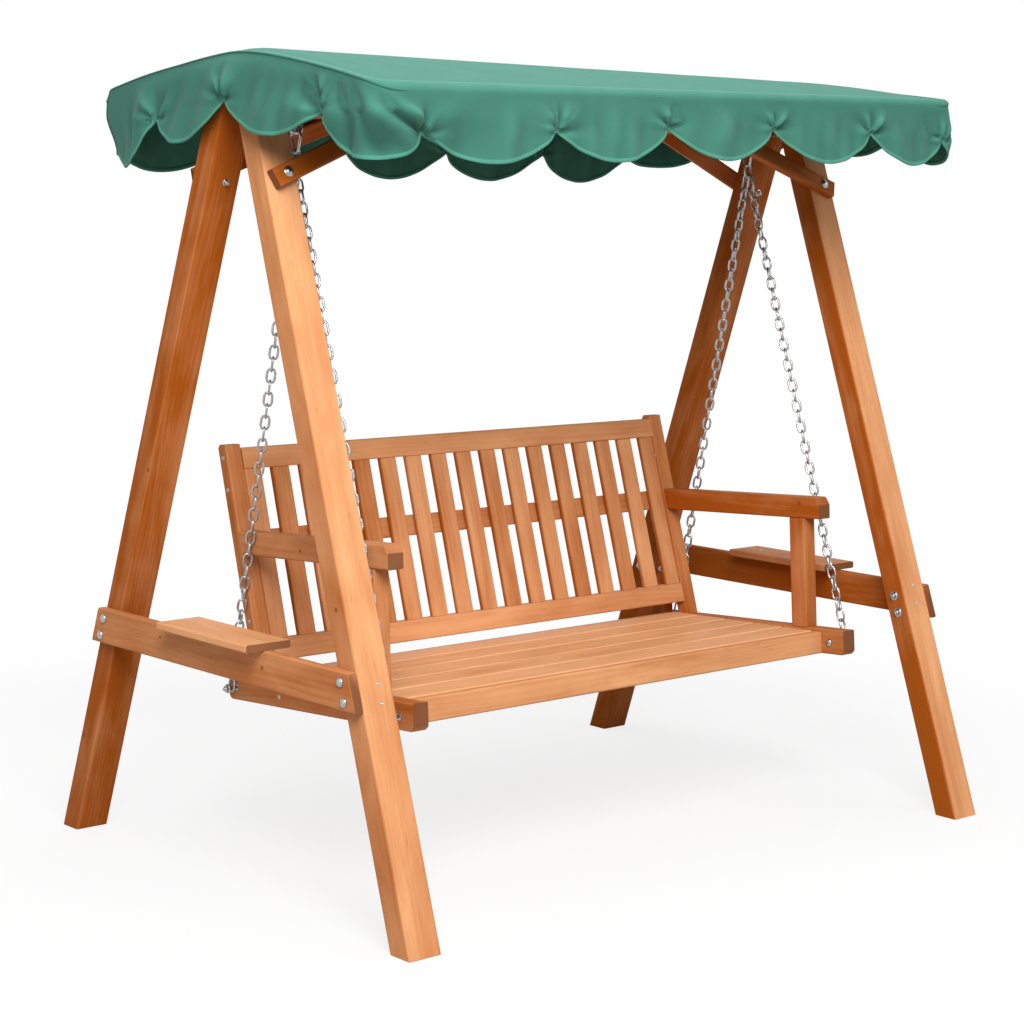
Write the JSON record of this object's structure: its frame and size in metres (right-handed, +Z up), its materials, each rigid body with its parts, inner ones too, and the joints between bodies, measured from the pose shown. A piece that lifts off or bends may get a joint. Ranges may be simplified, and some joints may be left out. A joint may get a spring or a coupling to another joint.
{
  "type": "canopy garden swing",
  "caption": "Timber garden swing seat: a slatted bench hung on link chains inside A-frames, under a gabled cloth canopy with a scalloped valance.",
  "frame": {"origin": "on the ground, under the middle of the swing", "axes": "+Z up; X along the bench, +X to the right of someone facing the bench; the bench faces -Y"},
  "size_m": [2.015, 1.35, 1.885],
  "materials": {
    "timber": "satin",
    "zinc": "satin",
    "cloth": "matte"
  },
  "bodies": {
    "frame": {"brace_front_left": "timber", "brace_front_right": "timber", "brace_rear_left": "timber", "brace_rear_right": "timber", "canopy_cover": "cloth", "eave_rail_front": "timber", "eave_rail_rear": "timber", "eye_left": "zinc", "eye_right": "zinc", "leg_front_left": "timber", "leg_front_right": "timber", "leg_rear_left": "timber", "leg_rear_right": "timber", "rafter_front_left": "timber", "rafter_front_right": "timber", "rafter_rear_left": "timber", "rafter_rear_right": "timber", "ridge_batten": "timber", "ridge_beam": "timber", "shelf_left": "timber", "shelf_right": "timber", "side_rail_left": "timber", "side_rail_right": "timber"},
    "bench": {"arm_left": "timber", "arm_post_left": "timber", "arm_post_right": "timber", "arm_right": "timber", "back_bottom_rail": "timber", "back_mid_rail": "timber", "back_slats": "timber", "back_stile_left": "timber", "back_stile_right": "timber", "back_support_left": "timber", "back_support_right": "timber", "back_top_rail": "timber", "chain_bolts": "zinc", "chain_front_left": "zinc", "chain_front_right": "zinc", "chain_rear_left": "zinc", "chain_rear_right": "zinc", "front_apron": "timber", "hook_left": "zinc", "hook_right": "zinc", "rear_seat_rail": "timber", "ring_left": "zinc", "ring_right": "zinc", "seat_bearer": "timber", "seat_cleat_left": "timber", "seat_cleat_right": "timber", "seat_rail_left": "timber", "seat_rail_right": "timber", "seat_slat_1": "timber", "seat_slat_2": "timber", "seat_slat_3": "timber", "seat_slat_4": "timber", "seat_slat_5": "timber"}
  },
  "joints": [
    {"name": "bench_swing", "type": "hinge", "parent": "frame", "child": "bench", "pos_m": [0, 0, 1.7], "axis": [1, 0, 0], "range_deg": [-20, 20]}
  ]
}
